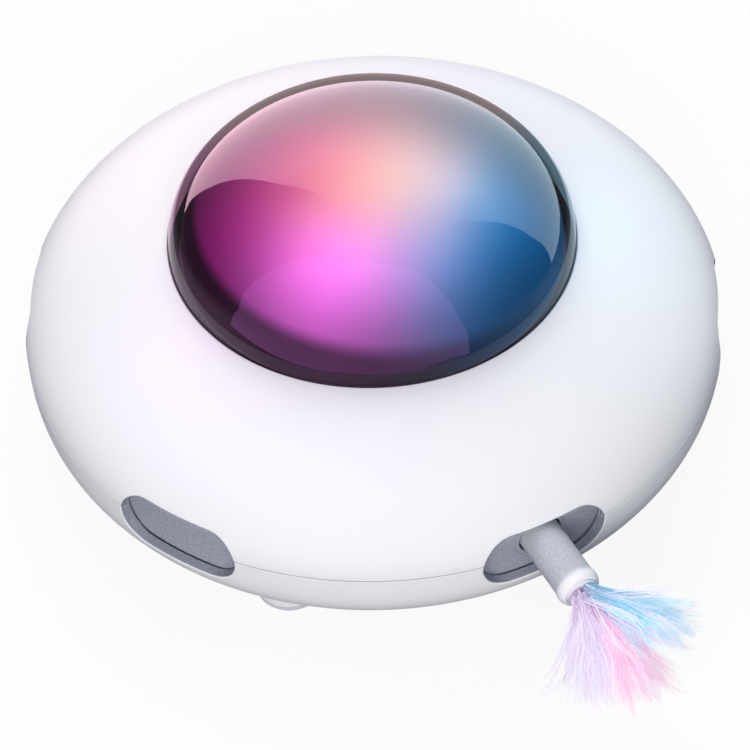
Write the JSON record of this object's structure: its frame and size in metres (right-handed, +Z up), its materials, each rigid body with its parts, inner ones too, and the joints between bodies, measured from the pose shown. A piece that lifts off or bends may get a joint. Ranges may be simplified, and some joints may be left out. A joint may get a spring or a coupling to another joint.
{
  "type": "cat teaser toy",
  "caption": "Saucer-shaped automatic cat toy: white two-part shell with slots round its rim, lit smoked dome, and an inner turntable that pokes a feather tube out of a slot.",
  "frame": {"origin": "on the floor plane under the four feet, on the dome's axis", "axes": "+Z up along the dome's axis; the teaser tube points along -Y at rest; the charging socket faces +X"},
  "size_m": [0.185, 0.2388, 0.0833],
  "materials": {
    "shell_white": "satin",
    "dome_smoke": "smoked clear gloss",
    "diffuser_glow": "milky translucent, lit from behind",
    "seal_rubber": "matt",
    "tray_white": "satin",
    "led_board_white": "solder mask",
    "led_package": "clear resin",
    "screw_steel": "plated",
    "tower_grey": "moulded",
    "motor_steel": "drawn can",
    "gearbox_brass": "stamped",
    "felt_grey": "felt",
    "cell_foil": "pouch foil",
    "pad_foam": "foam tape",
    "board_green": "solder mask",
    "chip_black": "moulded",
    "socket_steel": "plated",
    "ribbon_amber": "film",
    "wire_red": "insulation",
    "wire_blue": "insulation",
    "foot_grey": "soft matt",
    "drum_grey": "matt",
    "guide_white": "moulded",
    "tube_grey": "soft matt",
    "refill_violet": "moulded",
    "feather_blue": "down",
    "feather_pink": "down",
    "feather_lilac": "down",
    "gear_white": "moulded",
    "button_grey": "moulded"
  },
  "bodies": {
    "base": {"lower_shell": "shell_white", "upper_shell": "shell_white", "dome_lens": "dome_smoke", "light_diffuser": "diffuser_glow", "dome_seal": "seal_rubber", "light_tray": "tray_white", "led_board": "led_board_white", "leds": "led_package", "led_board_screws": "screw_steel", "light_tray_screws": "screw_steel", "motor_tower_screws": "screw_steel", "motor_cap_screws": "screw_steel", "control_board_screws": "screw_steel", "motor_tower": "tower_grey", "motor_cap": "tower_grey", "motor_can": "motor_steel", "vibration_motor": "motor_steel", "gearbox": "gearbox_brass", "friction_ring": "felt_grey", "battery_cell": "cell_foil", "battery_pad": "pad_foam", "control_board": "board_green", "control_chips": "chip_black", "switch_body": "chip_black", "usb_socket": "socket_steel", "led_ribbon": "ribbon_amber", "battery_lead": "wire_red", "motor_lead": "wire_blue", "vibration_lead": "wire_blue", "foot_front_left": "foot_grey", "foot_front_right": "foot_grey", "foot_rear_right": "foot_grey", "foot_rear_left": "foot_grey"},
    "turntable": {"turntable": "drum_grey", "guide_cover": "guide_white", "guide_cover_screws": "screw_steel", "tube_bush": "guide_white"},
    "carriage": {"carriage": "guide_white", "teaser_tube": "tube_grey", "tube_pin": "screw_steel"},
    "feather_refill": {"plume_socket": "refill_violet", "plume_blue": "feather_blue", "plume_pink": "feather_pink", "plume_lilac": "feather_lilac"},
    "drive_gear": {"drive_gear": "gear_white", "motor_shaft": "screw_steel"},
    "power_button": {"power_button": "button_grey"},
    "eccentric_weight": {"eccentric_weight": "gearbox_brass"}
  },
  "joints": [
    {"name": "turntable_sweep", "type": "hinge", "parent": "base", "child": "turntable", "pos_m": [0, 0, 0.0295], "axis": [0, 0, 1], "range_deg": [-6, 6]},
    {"name": "teaser_reach", "type": "slide", "parent": "turntable", "child": "carriage", "axis": [0, -1, 0], "range_m": [-0.02, 0], "deforming": ["plume_blue", "plume_pink", "plume_lilac"]},
    {"name": "drive_gear_turn", "type": "hinge", "parent": "turntable", "child": "drive_gear", "pos_m": [0, 0, 0.0315], "axis": [0, 0, 1], "range_deg": [0, 165]},
    {"name": "refill_pull", "type": "slide", "parent": "carriage", "child": "feather_refill", "axis": [0, -1, 0], "range_m": [0, 0.02]},
    {"name": "power_button_press", "type": "slide", "parent": "base", "child": "power_button", "axis": [0, 0, 1], "range_m": [0, 0.0008], "stiffness_N_per_m": 300, "springref_m": -0.0005},
    {"name": "eccentric_spin", "type": "hinge", "parent": "base", "child": "eccentric_weight", "pos_m": [0.008, 0.046, 0.0102], "axis": [1, 0, 0], "continuous": true}
  ],
  "couplings": [
    {"joint": "drive_gear_turn", "follows": "teaser_reach", "rad_per_m": -142.86}
  ]
}
